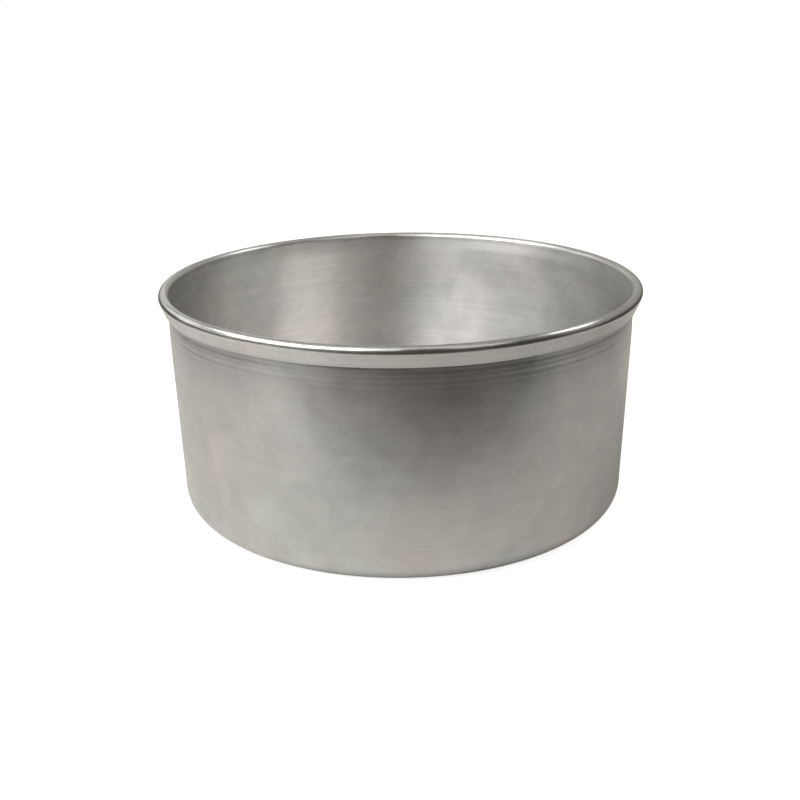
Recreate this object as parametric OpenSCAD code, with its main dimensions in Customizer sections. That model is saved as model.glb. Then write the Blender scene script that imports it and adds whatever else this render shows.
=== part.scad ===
// Round deep cake pan, spun from one sheet of aluminium, with a curled rim.
// Millimetres. Z is the axis of the pan, and the origin is the centre of the underside.

/* [Pan] */
// Outside diameter at the top of the straight wall
wall_d = 205.5; // [120:0.5:320]
// Height over the rim
height = 99; // [60:0.5:160]
// Thickness of the sheet
sheet = 1.2; // [0.6:0.1:1.6]
// Lean of the wall, in degrees from upright, wider at the top
draft = 1.4; // [0:0.1:8]
// Outside radius of the round corner between wall and floor
corner_r = 8.5; // [3:0.5:16]

/* [Band under the rim] */
// Length of the band that the roller has worked in under the rim
band_h = 18; // [8:0.5:26]
// How far the band ends inside the straight line of the wall
band_in = 0.5; // [0.1:0.1:2]

/* [Rim] */
// Height of the rim, from its bend in the wall to the top
rim_h = 8.1; // [7:0.1:14]
// Outside diameter of the curl at the top of the rim
curl_d = 4.5; // [3.8:0.1:6]
// How far the curl's inner side stands out from the wall's inner face
curl_out = 0.6; // [0:0.1:3]
// Gap between the wall and the end of the curled sheet
tail_gap = 0.3; // [0.1:0.1:1]

/* [Hidden] */
pan_fn = 256;
arc_fn = 720;

// A straight face that runs into a round one lies this far inside it, so the two cross
bite = 0.002;
// Length by which a piece of the section reaches past the one it joins
past = 2;

// Unit vector at an angle counted from the radial direction towards the top
function along(a) = [cos(a), sin(a)];

// The band is an arc that leaves the straight wall without a bend
band_r = (band_h * band_h + band_in * band_in) / (2 * band_in);
band_turn = asin(band_h / band_r);
band_end = band_turn - draft;
band_z = height - rim_h - band_r * (sin(draft) + sin(band_end));
wall_top = [wall_d / 2, band_z];
band_c = wall_top - band_r * along(-draft);

// Point at radius x on the ray from the centre of the band at angle a
function on_ray(a, x) = band_c + (x - band_c[0]) * [1, tan(a)];

// The corner touches both the outside of the wall and the underside
corner_x = (sin(draft) * (corner_r - band_z) - corner_r) / cos(draft);
corner_c = [wall_d / 2 + corner_x, corner_r];

// The curl, and the point on the wall's inner face where the rim bends out
curl_r = curl_d / 2;
bend = band_c + (band_r - sheet) * along(band_end);
curl_c = [bend[0] + curl_out + curl_r, height - curl_r];

// Angle from upright of the line from point p to the centre of the curl
function lean_to_curl(p) = atan2(curl_c[0] - p[0], curl_c[1] - p[1]);

// The inner side of the rim runs into the outside of the curl
inner_lean = lean_to_curl(bend) - asin(curl_r / norm(curl_c - bend));
inner_way = along(90 - inner_lean);
inner_through = along(-inner_lean);

// The tail of the sheet leaves the curl and comes back down to the wall
tail_end = bend + [sheet + tail_gap, 0];
hollow_r = curl_r - sheet;
tail_lean = lean_to_curl(tail_end) + asin(hollow_r / norm(curl_c - tail_end));
tail_way = along(90 - tail_lean);
tail_through = along(-tail_lean);

// The wall stops just under its bend, halfway into the overlap with the rim
overlap = sheet * tan((inner_lean + band_end) / 2);
wall_end = band_end - asin(overlap / 2 / band_r);

// Everything inside the faces that lie a distance of inset within the outside of the wall
module filled(inset, top_z, low, high, x) {
    foot = corner_c + (corner_r - inset - bite) * along(-draft);
    top = band_c + (band_r - inset - bite) * along(-draft);
    translate(corner_c) circle(corner_r - inset, $fn = arc_fn);
    polygon([[0, inset], [corner_c[0], inset], foot, top, [0, top_z]]);
    intersection() {
        translate(band_c) circle(band_r - inset, $fn = arc_fn);
        polygon([on_ray(low, x), on_ray(low, wall_d), on_ray(high, wall_d), on_ray(high, x)]);
    }
}

module wall_outline() {
    filled(0, band_z, -draft - 1, wall_end, wall_d / 2 - 3 * sheet);
}

module cavity_outline() {
    filled(sheet, height, -draft - 2, band_end + 1, wall_d / 2 - 4 * sheet);
}

module rim_outline() {
    foot = bend - past / 4 * inner_way;
    tail_corner = tail_end + sheet * tail_through;
    translate(curl_c) circle(curl_r, $fn = arc_fn);
    polygon([
        foot,
        curl_c - (curl_r - bite) * inner_through,
        curl_c + (curl_r - bite) * tail_through,
        tail_corner,
        tail_end - tail_gap / 2 * tail_through,
        foot + (sheet + tail_gap / 2) * inner_through,
    ]);
}

module rim_hollow() {
    mouth = tail_end - tail_gap / 4 * tail_way;
    translate(curl_c) circle(hollow_r, $fn = arc_fn);
    polygon([
        bend + sheet * inner_through - past * inner_way,
        curl_c - (hollow_r - bite) * inner_through,
        curl_c + (hollow_r - bite) * tail_through,
        mouth,
        mouth - [0, past],
    ]);
}

module wall() {
    rotate_extrude($fn = pan_fn) difference() {
        wall_outline();
        cavity_outline();
    }
}

module rim() {
    rotate_extrude($fn = pan_fn) difference() {
        rim_outline();
        rim_hollow();
        cavity_outline();
    }
}

module pan() {
    color([0.73, 0.72, 0.70]) {
        wall();
        rim();
    }
}

pan();
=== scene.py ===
# %% [markdown]
# # A spun aluminium cake pan
# A deep cake pan like this one is a single disc of aluminium sheet. A lathe turns it against a
# wooden or steel form, and a roller presses it down until it has a floor, a wall and a rim.
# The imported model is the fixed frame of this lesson: it says how large the pan is and where it
# stands. What is made here is the pan's visible skin, its finish, the light and the camera.

# %% Load the frame
from math import asin, atan2, cos, degrees, pi, radians, sin

import bpy
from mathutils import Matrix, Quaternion, Vector


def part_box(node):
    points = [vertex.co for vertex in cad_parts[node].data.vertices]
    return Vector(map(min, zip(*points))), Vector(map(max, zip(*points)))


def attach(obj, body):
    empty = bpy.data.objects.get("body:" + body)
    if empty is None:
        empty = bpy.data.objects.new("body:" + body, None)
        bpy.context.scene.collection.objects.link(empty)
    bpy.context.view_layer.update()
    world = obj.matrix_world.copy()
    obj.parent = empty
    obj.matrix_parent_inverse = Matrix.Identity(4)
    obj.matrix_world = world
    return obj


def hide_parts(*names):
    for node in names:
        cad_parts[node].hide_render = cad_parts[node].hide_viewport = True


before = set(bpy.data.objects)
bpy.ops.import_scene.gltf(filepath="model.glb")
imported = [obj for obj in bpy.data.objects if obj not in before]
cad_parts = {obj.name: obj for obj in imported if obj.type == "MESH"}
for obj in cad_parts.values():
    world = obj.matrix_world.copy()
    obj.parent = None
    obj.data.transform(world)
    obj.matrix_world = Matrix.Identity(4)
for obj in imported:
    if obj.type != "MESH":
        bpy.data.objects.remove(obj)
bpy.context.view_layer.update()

low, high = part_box("pan")
print("pan is", round(high.x - low.x, 4), "m wide and", round(high.z, 4), "m tall")

# %% [markdown]
# ## The section of the sheet
# Half of the pan's section is all that a lathe needs. The sizes below are the ones that a maker
# would write on a drawing. The overall width and height come from the frame, so the skin always
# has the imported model's size.

# %% Driving sizes of the section, in metres
MM = 0.001
rim_radius = high.x
height = high.z
sheet = 1.2 * MM
draft = radians(1.4)
corner_radius = 8.5 * MM
band_height = 18 * MM
band_inset = 0.5 * MM
rim_height = 8.1 * MM
curl_radius = 2.25 * MM
curl_offset = 0.6 * MM
tail_gap = 0.3 * MM
print("sheet", round(sheet / MM, 2), "mm thick, wall leaning out by", round(degrees(draft), 1), "degrees")

# %% [markdown]
# ## From sizes to points
# Each bend is an arc that touches the straight stretches beside it, so its centre follows from
# the sizes. A point is (distance from the axis, height), and an angle is counted from level,
# upwards. Working the points out, in place of pushing them about by eye, is what keeps the
# sheet equally thick all the way along.


# %% Points of the wall, the corner and the curl
def ahead(point, angle, length):
    return Vector((point[0] + length * cos(angle), point[1] + length * sin(angle)))


band_radius = (band_height ** 2 + band_inset ** 2) / (2 * band_inset)
band_end = asin(band_height / band_radius) - draft
bend = Vector((rim_radius - 2 * curl_radius - curl_offset, height - rim_height - sheet * sin(band_end)))
band_centre = ahead(bend, band_end, sheet - band_radius)
wall_top = ahead(band_centre, -draft, band_radius)
corner_x = wall_top.x + (sin(draft) * (corner_radius - wall_top.y) - corner_radius) / cos(draft)
corner_centre = Vector((corner_x, corner_radius))
curl_centre = Vector((rim_radius - curl_radius, height - curl_radius))
print("wall radius", round(wall_top.x, 5), "corner starts at", round(corner_centre.x, 5))

# %% [markdown]
# ## The two sides of the rim
# Above the bend the sheet runs straight up to the curl, and its tail comes straight down from
# the curl again. Each side is a line that touches a circle round the curl's centre, so its lean
# follows from how far off that centre is and from the circle's radius.


# %% Lean and end points of the two sides of the rim
def lean_to_curl(point, radius):
    gap = curl_centre - point
    return atan2(gap.x, gap.y) + asin(radius / gap.length)


tail_end = bend + Vector((sheet + tail_gap, 0))
inner_lean = lean_to_curl(bend, -curl_radius)
tail_lean = lean_to_curl(tail_end, curl_radius - sheet)
tail_corner = ahead(tail_end, -tail_lean, sheet)
fold = ahead(bend, (band_end - inner_lean) / 2, sheet / cos((band_end + inner_lean) / 2))
print("the rim leans", round(degrees(inner_lean), 2), "and", round(degrees(tail_lean), 2), "degrees")

# %% [markdown]
# ## Drawing the outline
# By hand one would start from a single vertex, extrude it along each straight stretch and spin
# it round the centre of each bend. The whole outline of the sheet is drawn, out along its inner
# face, over the curl, and back along its outer face. A Solidify modifier could give the
# thickness instead, but the marks of the roller are on the outer face only.

# %% Helpers that draw with one vertex
AXIS_Y = (0, 1, 0)
AXIS_Z = (0, 0, 1)
pen = Vector((0, 0))


def start_at(point):
    bpy.ops.object.select_all(action="DESELECT")
    bpy.ops.mesh.primitive_plane_add(size=MM, location=(point[0], 0, point[1]))
    bpy.ops.object.transform_apply(location=True)
    bpy.ops.object.mode_set(mode="EDIT")
    bpy.ops.mesh.merge(type="CENTER")
    pen.xy = point
    return bpy.context.object


def line_to(point, steps):
    stride = (Vector(point) - pen) / steps
    for _ in range(steps):
        move = {"value": (stride.x, 0, stride.y)}
        bpy.ops.mesh.extrude_vertices_move(TRANSFORM_OT_translate=move)
    pen.xy = point


def bend_about(centre, end_angle, steps):
    arm = pen - centre
    turn = end_angle - atan2(arm.y, arm.x)
    bpy.ops.mesh.spin(steps=steps, angle=turn, center=(centre[0], 0, centre[1]), axis=AXIS_Y)
    pen.xy = ahead(centre, end_angle, arm.length)


# %% Draw the inner face, from the middle of the floor to the end of the curl
pan = start_at((0, sheet))
pan.name = pan.data.name = "pan_skin"
line_to((corner_centre.x, sheet), steps=12)
bend_about(corner_centre, -draft, steps=10)
line_to(ahead(wall_top, -draft, -sheet), steps=22)
bend_about(band_centre, band_end, steps=12)
line_to(ahead(curl_centre, pi - inner_lean, curl_radius), steps=4)
bend_about(curl_centre, -tail_lean, steps=26)
pan.update_from_editmode()
print("inner face has", len(pan.data.vertices), "points")

# %% [markdown]
# ## The end of the tail
# The curl's tail is cut from the disc with shears and then rubbed by every cloth that dries the
# pan, so its outer edge isn't sharp. Here the pen turns round a small centre in place of the
# corner. A Bevel modifier would do the same, but would also need the edge to be picked out of
# the whole mesh afterwards.

# %% Draw the worn end of the tail
EDGE_WEAR = 0.2 * MM
wear_start = ahead(tail_corner, pi / 2 - tail_lean, EDGE_WEAR)
wear_centre = ahead(wear_start, pi - tail_lean, EDGE_WEAR)
line_to(wear_start, steps=5)
bend_about(wear_centre, -tail_lean - pi / 2, steps=3)
line_to(tail_end, steps=1)
print("the tail ends", round((tail_end.x - bend.x - sheet) / MM, 2), "mm from the wall")

# %% [markdown]
# ## The hollow of the curl
# The curl is a tube and not a solid ring, because the sheet keeps its thickness as the roller
# turns it over. The pen goes back up the hidden face of the tail, round the inside of the tube
# and down to the fold where the rim leaves the wall. Few steps are enough where nobody looks.

# %% Draw the hollow inside the curl
line_to(ahead(curl_centre, -tail_lean, curl_radius - sheet), steps=4)
bend_about(curl_centre, pi - inner_lean, steps=12)
line_to(fold, steps=4)
pan.update_from_editmode()
print("the hollow ends after", len(pan.data.vertices), "points")

# %% [markdown]
# ## The roller's grooves
# Where the roller turned back under the rim it left a few shallow grooves round the outside of
# the band. They catch the light as fine dark and light lines, so they are cut in the outline:
# the pen walks down the band in short steps, and each step is pulled in by the groove's depth
# there. Bump alone would vanish at the silhouette and would not be part of the mesh.

# %% Places, half widths and depths of the grooves, measured down from the rim
GROOVES = (
    (2.4 * MM, 1.1 * MM, 0.05 * MM),
    (4.4 * MM, 0.7 * MM, 0.015 * MM),
    (6.6 * MM, 1.2 * MM, 0.036 * MM),
    (9.0 * MM, 0.8 * MM, 0.014 * MM),
)


def groove_depth(way):
    depth = 0
    for place, half_width, deepest in GROOVES:
        share = min(abs(way - place) / half_width, 1)
        depth += deepest * (1 + cos(pi * share)) / 2
    return depth


print("groove depths in mm", [round(groove_depth(groove[0]) / MM, 3) for groove in GROOVES])

# %% Draw the way back along the outer face
GROOVE_STEP = 0.25 * MM
GROOVED_LENGTH = 10 * MM
groove_steps = round(GROOVED_LENGTH / GROOVE_STEP)
for step in range(1, groove_steps + 1):
    way = step * GROOVE_STEP
    line_to(ahead(band_centre, band_end - way / band_radius, band_radius - groove_depth(way)), steps=1)
bend_about(band_centre, -draft, steps=11)
line_to(ahead(corner_centre, -draft, corner_radius), steps=22)
bend_about(corner_centre, -pi / 2, steps=12)
line_to((0, 0), steps=12)
pan.update_from_editmode()
widths = [vertex.co.x for vertex in pan.data.vertices]
heights = [vertex.co.z for vertex in pan.data.vertices]
print("outline has", len(widths), "points")
print("outline reaches", round(max(widths), 5), "m out and", round(max(heights), 5), "m up")

# %% [markdown]
# ## Spinning the outline
# A spin round the Z axis is what the lathe does. The two ends of the outline lie on the axis,
# so all their copies are merged into one point, and the normals are then worked out afresh,
# because a spin can leave a shape inside out.

# %% Spin the outline round the axis
SPIN_STEPS = 360
WELD = 1e-6
SHARP_ANGLE = radians(30)
bpy.ops.mesh.select_all(action="SELECT")
bpy.ops.mesh.spin(steps=SPIN_STEPS, angle=2 * pi, center=(0, 0, 0), axis=AXIS_Z)
bpy.ops.mesh.select_all(action="SELECT")
bpy.ops.mesh.remove_doubles(threshold=WELD)
bpy.ops.mesh.normals_make_consistent(inside=False)
bpy.ops.object.mode_set(mode="OBJECT")
bpy.ops.object.shade_smooth_by_angle(angle=SHARP_ANGLE)
print("pan has", len(pan.data.vertices), "points and", len(pan.data.polygons), "faces")

# %% [markdown]
# ## Helpers for materials
# A material is a small network of nodes. A few short helpers keep its script readable. One adds
# a node and sets its inputs by name, and two do a sum, with numbers or with vectors. The last
# two start a node group with named sockets and put it to use, so that an effect is written once
# and used with other values wherever it is wanted.


# %% Helpers that add nodes
def connect(tree, value, socket):
    if isinstance(value, bpy.types.NodeSocket):
        tree.links.new(value, socket)
    else:
        socket.default_value = value


def add_node(tree, kind, settings=None, **inputs):
    node = tree.nodes.new("ShaderNode" + kind)
    for name, value in (settings or {}).items():
        setattr(node, name, value)
    for name, value in inputs.items():
        connect(tree, value, node.inputs[name.replace("_", " ")])
    return node


# %% Helpers that do sums
def calculate(tree, operation, *values):
    node = add_node(tree, "Math", {"operation": operation})
    for value, socket in zip(values, node.inputs):
        connect(tree, value, socket)
    return node.outputs["Value"]


def calculate_vector(tree, operation, *values):
    node = add_node(tree, "VectorMath", {"operation": operation})
    for value, socket in zip(values, node.inputs):
        connect(tree, value, socket)
    return node


# %% Helpers for node groups
def start_group(name, inputs, outputs):
    tree = bpy.data.node_groups.new(name, "ShaderNodeTree")
    for label, kind in inputs:
        tree.interface.new_socket(name=label, in_out="INPUT", socket_type="NodeSocket" + kind)
    for label, kind in outputs:
        tree.interface.new_socket(name=label, in_out="OUTPUT", socket_type="NodeSocket" + kind)
    given = tree.nodes.new("NodeGroupInput").outputs
    result = tree.nodes.new("NodeGroupOutput").inputs
    return tree, given, result


def use_group(tree, group, **inputs):
    return add_node(tree, "Group", {"node_tree": group}, **inputs)


# %% [markdown]
# ## Where a point lies on a spun sheet
# Whatever the lathe does to the sheet runs round the axis, on the floor in circles and on the
# wall in level lines. Radius plus height grows steadily from the middle of the floor to the
# rim, so it says how far along the sheet a point lies, and the direction from the axis says
# how far round. A pattern that reads these two flows round the corner without a seam.

# %% Start the group that gives a point's place on the sheet
place_tree, given, result = start_group(
    "place_on_sheet",
    [("Vector", "Vector"), ("Normal", "Vector")],
    [("Place", "Vector"), ("Outside", "Float")],
)
axes = add_node(place_tree, "SeparateXYZ", Vector=given["Vector"])
level = add_node(place_tree, "CombineXYZ", X=axes.outputs["X"], Y=axes.outputs["Y"], Z=0.0)
radius = calculate_vector(place_tree, "LENGTH", level.outputs["Vector"]).outputs["Value"]
outward = calculate_vector(place_tree, "NORMALIZE", level.outputs["Vector"]).outputs["Vector"]
print("so far the place group has", len(place_tree.nodes), "nodes")

# %% Place along and round the sheet
along_sheet = calculate(place_tree, "ADD", radius, axes.outputs["Z"])
along_mm = calculate(place_tree, "DIVIDE", along_sheet, MM)
turn = add_node(place_tree, "SeparateXYZ", Vector=outward)
place = add_node(place_tree, "CombineXYZ", X=turn.outputs["X"], Y=turn.outputs["Y"], Z=along_mm)
place_tree.links.new(place.outputs["Vector"], result["Place"])
print("the place group now has", len(place_tree.nodes), "nodes")

# %% Mask for the outside of the sheet
OUTSIDE_EDGE = 0.15
facing = calculate_vector(place_tree, "DOT_PRODUCT", given["Normal"], outward).outputs["Value"]
outside = add_node(place_tree, "MapRange", Value=facing, From_Min=-OUTSIDE_EDGE, From_Max=OUTSIDE_EDGE)
place_tree.links.new(outside.outputs["Result"], result["Outside"])
print("in all the place group has", len(place_tree.nodes), "nodes")

# %% [markdown]
# ## Lines left by the lathe
# The roller's fine ridges, the emery cloth's hairlines and the marks of a scouring pad are all
# long and thin and run round the pan. They are one noise, squeezed across the sheet and
# stretched round it. Low and High cut the noise: far apart they give soft bands, and closer
# together, near its top, they leave separate streaks.

# %% Node group for lines that run round the pan
lines_tree, given, result = start_group(
    "lathe_lines",
    [("Place", "Vector"), ("Spacing", "Float"), ("Breaks", "Float"), ("Low", "Float"), ("High", "Float")],
    [("Lines", "Float")],
)
across = calculate(lines_tree, "DIVIDE", 1.0, given["Spacing"])
squeeze = add_node(lines_tree, "CombineXYZ", X=given["Breaks"], Y=given["Breaks"], Z=across)
squeezed = calculate_vector(lines_tree, "MULTIPLY", given["Place"], squeeze.outputs["Vector"])
line_noise = add_node(lines_tree, "TexNoise", Vector=squeezed.outputs["Vector"], Scale=1.0, Detail=2.0)
cut = add_node(
    lines_tree, "MapRange", Value=line_noise.outputs["Fac"], From_Min=given["Low"], From_Max=given["High"]
)
lines_tree.links.new(cut.outputs["Result"], result["Lines"])
print("line group has", len(lines_tree.nodes), "nodes")

# %% [markdown]
# ## Smudges
# Bare aluminium takes on cloudy patches where it was wiped, washed and handled. A noise with
# several layers of detail gives such clouds, and its Distortion, which pushes the noise's place
# about by more noise, gives them their ragged edges.

# %% Node group for cloudy patches
smudge_tree, given, result = start_group(
    "smudges",
    [("Vector", "Vector"), ("Size", "Float"), ("Low", "Float"), ("High", "Float")],
    [("Smudges", "Float")],
)
per_metre = calculate(smudge_tree, "DIVIDE", 1.0, given["Size"])
raggedness = {"Detail": 4.0, "Roughness": 0.55, "Distortion": 0.6}
cloud = add_node(smudge_tree, "TexNoise", Vector=given["Vector"], Scale=per_metre, **raggedness)
cut = add_node(
    smudge_tree, "MapRange", Value=cloud.outputs["Fac"], From_Min=given["Low"], From_Max=given["High"]
)
smudge_tree.links.new(cut.outputs["Result"], result["Smudges"])
print("smudge group has", len(smudge_tree.nodes), "nodes")

# %% [markdown]
# ## Spun aluminium
# The metal is a pale warm grey with a satin face. Its gloss is wide across the lathe's lines
# and narrow along them, which draws each reflection out into a soft upright band. The shader's
# Anisotropic setting does that, with a tangent that runs round the Z axis and a quarter turn
# that lays the wide side across it.

# %% Start the aluminium
GLOSS_STRETCH = 0.86
QUARTER_TURN = 0.25
aluminium = bpy.data.materials.new("spun_aluminium")
aluminium.use_nodes = True
metal = aluminium.node_tree
shader = metal.nodes["Principled BSDF"]
shader.inputs["Metallic"].default_value = 1
shader.inputs["Anisotropic"].default_value = GLOSS_STRETCH
shader.inputs["Anisotropic Rotation"].default_value = QUARTER_TURN
around = add_node(metal, "Tangent", {"direction_type": "RADIAL", "axis": "Z"})
metal.links.new(around.outputs["Tangent"], shader.inputs["Tangent"])
where = metal.nodes.new("ShaderNodeTexCoord").outputs
sheet_place = use_group(metal, place_tree, Vector=where["Object"], Normal=where["Normal"]).outputs
print("the metal starts with", len(metal.nodes), "nodes")

# %% [markdown]
# ## Lines on the aluminium
# The same group of nodes is placed four times. Spacing is the width of a line in millimetres,
# and Breaks says how often it breaks off on its way round: hairlines are short, and the broad
# bands, where the roller slowed down, run far round the pan.


# %% Place the lines
def lines(spacing, breaks, low=0.3, high=0.7):
    group = use_group(
        metal, lines_tree, Place=sheet_place["Place"], Spacing=spacing, Breaks=breaks, Low=low, High=high
    )
    return group.outputs["Lines"]


hairlines = lines(spacing=0.35, breaks=6.0)
ridges = lines(spacing=1.6, breaks=2.2)
bands = lines(spacing=6.0, breaks=1.2)
wipes = lines(spacing=1.4, breaks=1.8, low=0.45)
print("the metal has", len(metal.nodes), "nodes with its lines")

# %% [markdown]
# ## Smudges on the aluminium
# Real wear has no single size, so the smudges come in three, from a hand's wipe down to the
# mark of a drop. A fourth set of clouds will drift the metal's colour. Size is in metres.


# %% Place the smudges
def smudges(size, low, high):
    group = use_group(metal, smudge_tree, Vector=where["Object"], Size=size, Low=low, High=high)
    return group.outputs["Smudges"]


drifts = smudges(size=0.075, low=0.3, high=0.7)
clouds = smudges(size=0.03, low=0.4, high=0.6)
spots = smudges(size=0.012, low=0.42, high=0.58)
tint_patches = smudges(size=0.055, low=0.4, high=0.6)
print("the metal has", len(metal.nodes), "nodes with its smudges")

# %% [markdown]
# ## Zones of the finish, and painted shade and light
# Three zones differ from the rest. The curl has been burnished by the roller that closed it, so
# it is smoother and its highlight is a thin line. The outside of the band under the rim is
# darkened as painted shade, where the overhanging rim shades the wall. The inside is scoured at
# every wash, which leaves it rougher, with more wipe marks, and its colour is lightened as
# painted light, for the light that gathers inside the pan. Each zone is a mask that is 1 inside it
# and 0 elsewhere.


# %% Mask for the burnished curl
def rise(value, start, end):
    node = add_node(metal, "MapRange", {"interpolation_type": "SMOOTHSTEP"}, Value=value)
    node.inputs["From Min"].default_value = start
    node.inputs["From Max"].default_value = end
    return node.outputs["Result"]


BURNISHED_DEPTH = 1.45 * curl_radius
BURNISHED_BLEND = 0.4 * MM
curl_foot = height - BURNISHED_DEPTH
up = add_node(metal, "SeparateXYZ", Vector=where["Object"]).outputs["Z"]
burnished = rise(up, curl_foot - BURNISHED_BLEND, curl_foot + BURNISHED_BLEND)
print("the curl is burnished down to", round(curl_foot, 4), "m")

# %% Masks for the painted shade under the rim and for the scoured inside
SHADE_DEPTH = 11 * MM
SHADE_RISE = 0.5 * MM
SHADE_EDGE = 0.2 * MM
# Painted shade: the band under the rim is darkest just below the rim's tail and fades downwards, where
# the overhanging rim shades the wall.
shade_foot = height - rim_height - SHADE_DEPTH
shade_top = height - rim_height + SHADE_RISE
shade_deepening = rise(up, shade_foot, shade_top)
below_rim = rise(up, shade_top + SHADE_EDGE, shade_top)
under_rim = calculate(metal, "MULTIPLY", shade_deepening, below_rim)
outside_face = sheet_place["Outside"]
painted_shade_under_rim = calculate(metal, "MULTIPLY", under_rim, outside_face)
# The inside face mask also lightens the inside's colour below, as painted light for the light that
# gathers inside the pan.
inside_face = calculate(metal, "SUBTRACT", 1.0, outside_face)
scouring = calculate(metal, "MULTIPLY", wipes, inside_face)
print("grime lies from", round(shade_foot, 4), "to", round(shade_top, 4), "m")

# %% [markdown]
# ## Mixing colours
# A Mix node can mix numbers, vectors or colours. It keeps sockets for all of them under the
# same names, so the ones for colours are picked by their number. The older MixRGB node would
# need no numbers, but it is kept only for old files.

# %% Helper that mixes two colours
MIX_FACTOR = 0
MIX_FIRST = 6
MIX_SECOND = 7
MIX_RESULT = 2


def mix_colours(tree, factor, first, second, blend="MIX"):
    node = add_node(tree, "Mix", {"data_type": "RGBA", "blend_type": blend})
    connect(tree, factor, node.inputs[MIX_FACTOR])
    connect(tree, first, node.inputs[MIX_FIRST])
    connect(tree, second, node.inputs[MIX_SECOND])
    return node.outputs[MIX_RESULT]


# %% [markdown]
# ## The metal's tone
# Each effect moves the metal's tone by a few parts in a hundred, around 1. Lines and smudges
# are centred on their middle grey first, so that they darken as much as they lighten. Wipe
# marks and zones are then added as they are. The sum multiplies the metal's own colour, which
# drifts between a cooler and a warmer grey over the width of a hand.

# %% Tone of the lines and smudges
MIDDLE_GREY = 0.5


def weigh(effects, start):
    total = start
    for effect, weight in effects:
        centred = calculate(metal, "SUBTRACT", effect, MIDDLE_GREY)
        part = calculate(metal, "MULTIPLY", centred, weight)
        total = calculate(metal, "ADD", total, part)
    return total


line_tones = ((hairlines, 0.016), (ridges, 0.025), (bands, 0.04))
smudge_tones = ((drifts, 0.07), (clouds, 0.10), (spots, 0.06))
tone = weigh(line_tones + smudge_tones, start=1.0)
print("the tone adds up", len(line_tones + smudge_tones), "effects")

# %% Tone of the wipe marks and the zones, with painted shade and painted light, and the colour of the metal
COOL_GREY = (0.652, 0.665, 0.643, 1)
WARM_GREY = (0.679, 0.656, 0.641, 1)
# Painted shade darkens the band under the rim by 8 parts in a hundred, and painted light makes the inside
# 20 parts paler.
mark_tones = ((wipes, 0.03), (painted_shade_under_rim, -0.08), (inside_face, 0.2), (scouring, 0.05))
for mark, weight in mark_tones:
    tone = calculate(metal, "ADD", tone, calculate(metal, "MULTIPLY", mark, weight))
grey = mix_colours(metal, tint_patches, COOL_GREY, WARM_GREY)
tone_colour = add_node(metal, "CombineColor", Red=tone, Green=tone, Blue=tone).outputs["Color"]
metal.links.new(mix_colours(metal, 1.0, grey, tone_colour, "MULTIPLY"), shader.inputs["Base Color"])
print("the metal has", len(metal.nodes), "nodes with its tone")

# %% [markdown]
# ## The metal's gloss and relief
# Roughness says how far a reflection is spread. The wall is satin, the scoured inside is
# rougher and the burnished curl smoother, and smudges are a little duller than clean metal. The
# ridges and hairlines are also felt by the light as relief, a few thousandths of a millimetre
# high, which is far too fine for the mesh and just right for a Bump node.

# %% Gloss of the metal
SATIN = 0.305
SCOURED = 0.36
BURNISHED = 0.24
dull = weigh(((clouds, 0.024), (spots, 0.01), (ridges, 0.014)), start=SATIN)
dull = calculate(metal, "ADD", dull, calculate(metal, "MULTIPLY", inside_face, SCOURED - SATIN))
polish = calculate(metal, "MULTIPLY", burnished, SATIN - BURNISHED)
gloss = calculate(metal, "SUBTRACT", dull, polish)
metal.links.new(gloss, shader.inputs["Roughness"])
print("roughness is", SATIN, "outside,", SCOURED, "inside and", BURNISHED, "on the curl")

# %% Relief of the metal
LINE_RELIEF = 0.003 * MM
relief = weigh(((hairlines, 0.15), (ridges, 1.0)), start=MIDDLE_GREY)
bump = add_node(metal, "Bump", Strength=1.0, Distance=LINE_RELIEF, Height=relief)
metal.links.new(bump.outputs["Normal"], shader.inputs["Normal"])
print("the metal has", len(metal.nodes), "nodes in all")

# %% Dress the pan
pan.data.materials.append(aluminium)
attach(pan, "root")
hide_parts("pan")
print(pan.name, "wears", pan.data.materials[0].name)

# %% [markdown]
# ## The floor
# The pan stands on a strip of pale paper, laid a little askew, that ends a hand's breadth in
# front of it, on a dark bench. That is why its wall is light near the foot and darker higher
# up: a look at a satin wall is a look at what lies in front of it. The camera sees the whole
# floor as white, through Light Path's Is Camera Ray, and only a little less white on the paper,
# so that the shadow under the pan still shows.

# %% Make the floor
FLOOR_SIZE = 8
MATT = 0.9
WHITE = (1, 1, 1, 1)
bpy.ops.object.select_all(action="DESELECT")
bpy.ops.mesh.primitive_plane_add(size=FLOOR_SIZE)
floor = bpy.context.object
floor.name = "floor"
floor_paper = bpy.data.materials.new("floor_paper")
floor_paper.use_nodes = True
paper = floor_paper.node_tree
paper_shader = paper.nodes["Principled BSDF"]
paper_shader.inputs["Roughness"].default_value = MATT
paper_shader.inputs["Specular IOR Level"].default_value = 0
paper_shader.inputs["Emission Color"].default_value = WHITE
print("floor is", FLOOR_SIZE, "m wide")

# %% Find the edges of the paper
PAPER_FRONT = -0.205
PAPER_SLANT = 0.2
PAPER_SIDE = 0.38
PAPER_FADE = 0.03
on_floor = paper.nodes.new("ShaderNodeTexCoord").outputs["Object"]
on_floor = add_node(paper, "SeparateXYZ", Vector=on_floor).outputs
sideways = calculate(paper, "ABSOLUTE", on_floor["X"])
slant = calculate(paper, "MULTIPLY", on_floor["X"], PAPER_SLANT)
forward = calculate(paper, "SUBTRACT", on_floor["Y"], slant)
behind_front = add_node(paper, "MapRange", Value=forward)
behind_front.inputs["From Min"].default_value = PAPER_FRONT - PAPER_FADE
behind_front.inputs["From Max"].default_value = PAPER_FRONT + PAPER_FADE
within_sides = add_node(paper, "MapRange", Value=sideways)
within_sides.inputs["From Min"].default_value = PAPER_SIDE + PAPER_FADE
within_sides.inputs["From Max"].default_value = PAPER_SIDE - PAPER_FADE
print("the paper is", 2 * PAPER_SIDE, "m wide")

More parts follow.
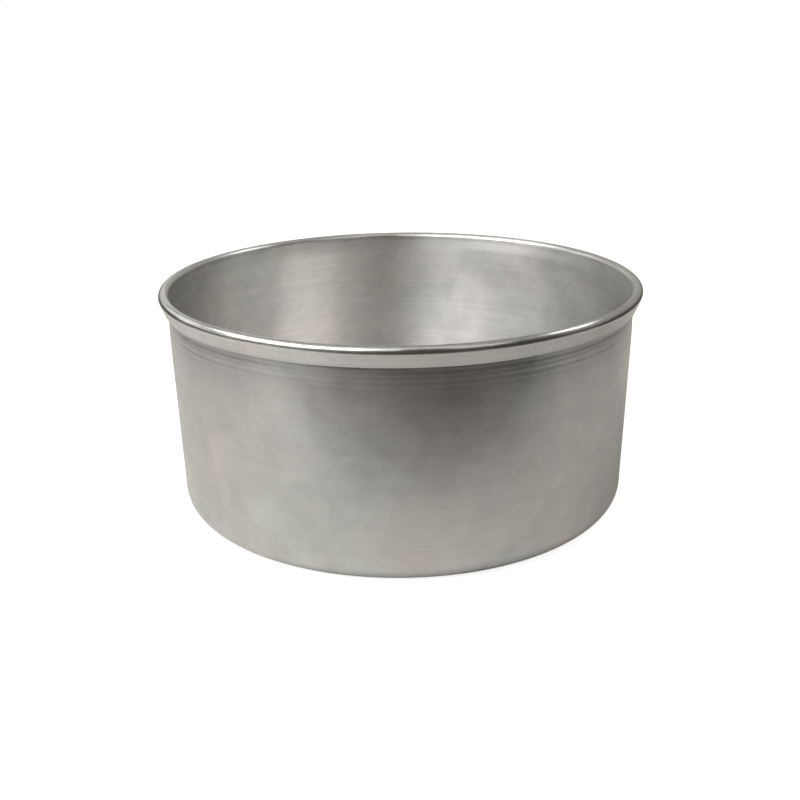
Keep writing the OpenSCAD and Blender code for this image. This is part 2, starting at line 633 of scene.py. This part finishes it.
# %% Colour the paper and the bench
PAPER_PALE = (0.72, 0.70, 0.67, 1)
BENCH_DARK = (0.04, 0.04, 0.04, 1)
on_paper = calculate(paper, "MULTIPLY", behind_front.outputs["Result"], within_sides.outputs["Result"])
floor_colour = mix_colours(paper, on_paper, BENCH_DARK, PAPER_PALE)
paper.links.new(floor_colour, paper_shader.inputs["Base Color"])
print("the paper's colour is", PAPER_PALE[:3], "and the bench's", BENCH_DARK[:3])

# %% [markdown]
# ## A white floor for the camera
# Light Path tells a shader what kind of ray has hit it. A ray from the camera meets a glow of
# strength 1, which shows as white, less a small share on the paper that leaves room for the
# shadow. Mirror rays and rays through glass get only a fiftieth of that white, on the paper
# alone, because a satin wall that mirrors white from every side loses its shading. So the metal
# doesn't show the white that the camera sees. Other rays get none of the glow.

# %% Show the floor as white
CONTACT = 0.15
PAPER_GLOW = 0.02
path = paper.nodes.new("ShaderNodeLightPath").outputs
seen = calculate(paper, "SUBTRACT", 1.0, calculate(paper, "MULTIPLY", on_paper, CONTACT))
seen = calculate(paper, "MULTIPLY", seen, path["Is Camera Ray"])
mirrored = calculate(paper, "ADD", path["Is Glossy Ray"], path["Is Transmission Ray"])
mirrored = calculate(paper, "MULTIPLY", mirrored, PAPER_GLOW)
mirrored = calculate(paper, "MULTIPLY", mirrored, on_paper)
paper.links.new(calculate(paper, "ADD", seen, mirrored), paper_shader.inputs["Emission Strength"])
floor.data.materials.append(floor_paper)
print(floor.name, "has", len(paper.nodes), "nodes in its paper")

# %% [markdown]
# ## The room
# Beyond the floor is a white room for the camera. For everything else it is a dim grey in
# front, so that the softboxes model the metal, and a lighter grey above and behind the pan,
# where the backdrop hangs. The round top of the curl mirrors that part, and would be a dark
# line without it. In a world, Generated gives the direction of a look, and its dot product with
# the backdrop's direction says how nearly the look meets the backdrop. Mirror rays and rays
# through glass get a fiftieth of the white on top, as they do from the paper.

# %% Grey of the room and of its backdrop
ROOM_GREY = (0.052, 0.037, 0.022, 1)
BACKDROP_GREY = (0.36, 0.35, 0.33, 1)
BACKDROP_WAY = Vector((0, 0.5, 0.87))
BACKDROP_START = 0.3
BACKDROP_FULL = 0.65
world = bpy.data.worlds.new("studio")
bpy.context.scene.world = world
world.use_nodes = True
room = world.node_tree
look = room.nodes.new("ShaderNodeTexCoord").outputs["Generated"]
towards = calculate_vector(room, "DOT_PRODUCT", look, BACKDROP_WAY).outputs["Value"]
backdrop = add_node(room, "MapRange", {"interpolation_type": "SMOOTHSTEP"}, Value=towards)
backdrop.inputs["From Min"].default_value = BACKDROP_START
backdrop.inputs["From Max"].default_value = BACKDROP_FULL
room_grey = mix_colours(room, backdrop.outputs["Result"], ROOM_GREY, BACKDROP_GREY)
print("the room's grey is", ROOM_GREY[:3], "and its backdrop's", BACKDROP_GREY[:3])

# %% Show the room as white
ROOM_GLOW = 0.02
path = room.nodes.new("ShaderNodeLightPath").outputs
mirrored = calculate(room, "ADD", path["Is Glossy Ray"], path["Is Transmission Ray"])
mirrored = calculate(room, "MULTIPLY", mirrored, ROOM_GLOW)
whiteness = calculate(room, "ADD", path["Is Camera Ray"], mirrored)
room_colour = mix_colours(room, whiteness, room_grey, WHITE)
room.links.new(room_colour, room.nodes["Background"].inputs["Color"])
print("the room has", len(room.nodes), "nodes")

# %% [markdown]
# ## Softboxes
# A softbox is an area lamp. It is placed by the direction in which it stands, seen from the
# pan: azimuth 0 is towards the camera, and 90 is to the right. Its power is worked out from
# how bright its face should look, so a box can be made larger without growing brighter. The
# metal mirrors each one as a soft band of its own, which is why there are several.

# %% Helper that sets up a softbox
LAMP_DISTANCE = 1.2
PAN_MIDDLE = Vector((0, 0, height / 2))


def softbox(name, azimuth, elevation, width, tall, brightness):
    turn = radians(azimuth)
    lift = radians(elevation)
    way = Vector((sin(turn) * cos(lift), -cos(turn) * cos(lift), sin(lift)))
    bpy.ops.object.light_add(type="AREA", location=PAN_MIDDLE + way * LAMP_DISTANCE)
    lamp = bpy.context.object
    lamp.name = lamp.data.name = name
    lamp.rotation_euler = way.to_track_quat("Z", "Y").to_euler()
    lamp.data.shape = "RECTANGLE"
    lamp.data.size = width
    lamp.data.size_y = tall
    lamp.data.energy = brightness * pi * width * tall
    lamp.visible_camera = False
    return lamp


# %% Set up the softboxes: azimuth, elevation, width, height and brightness of each
SOFTBOXES = (
    ("left_low", -95, 18, 0.9, 0.3, 0.75),
    ("key", -68, 42, 0.8, 0.5, 5.4),
    ("left_front", -35, 45, 0.5, 0.4, 4.9),
    ("front_left", -15, 50, 0.4, 0.3, 2.3),
    ("overhead", 0, 74, 0.8, 0.2, 1.2),
    ("right_front", 40, 45, 0.5, 0.4, 0.85),
    ("right_low", 90, 18, 0.7, 0.3, 0.2),
    ("right_back", 116, 46, 0.5, 0.3, 2.3),
    ("left_back", -104, 43, 0.4, 0.25, 3.0),
    ("back_left", -125, 25, 0.6, 0.5, 0.7),
    ("back_left_low", -155, 14, 0.7, 0.3, 0.3),
)
for box in SOFTBOXES:
    lamp = softbox(*box)
    print(lamp.name, "gives", round(lamp.data.energy, 2), "W")

# %% [markdown]
# ## The camera
# The camera looks down at the pan by about 20 degrees, from half a metre away. The slight roll
# is that of the photograph, whose rim dips a little to the left. Standard is the view transform
# that shows each colour about as it is written.

# %% Camera
AIM = Vector((-0.00082, 0, 0.0407))
CAMERA_DISTANCE = 0.5027
CAMERA_LIFT = radians(19.887)
CAMERA_ROLL = radians(-0.734)
SENSOR_WIDTH = 36
FOCAL_LENGTH = 48.49
bpy.ops.object.camera_add()
camera = bpy.context.object
back = Vector((0, -cos(CAMERA_LIFT), sin(CAMERA_LIFT)))
camera.location = AIM + back * CAMERA_DISTANCE
camera.rotation_mode = "QUATERNION"
camera.rotation_quaternion = (-back).to_track_quat("-Z", "Y") @ Quaternion(AXIS_Z, CAMERA_ROLL)
camera.data.sensor_width = SENSOR_WIDTH
camera.data.lens = FOCAL_LENGTH
bpy.context.scene.camera = camera
bpy.context.scene.view_settings.view_transform = "Standard"
print("camera stands at", [round(c, 4) for c in camera.location])
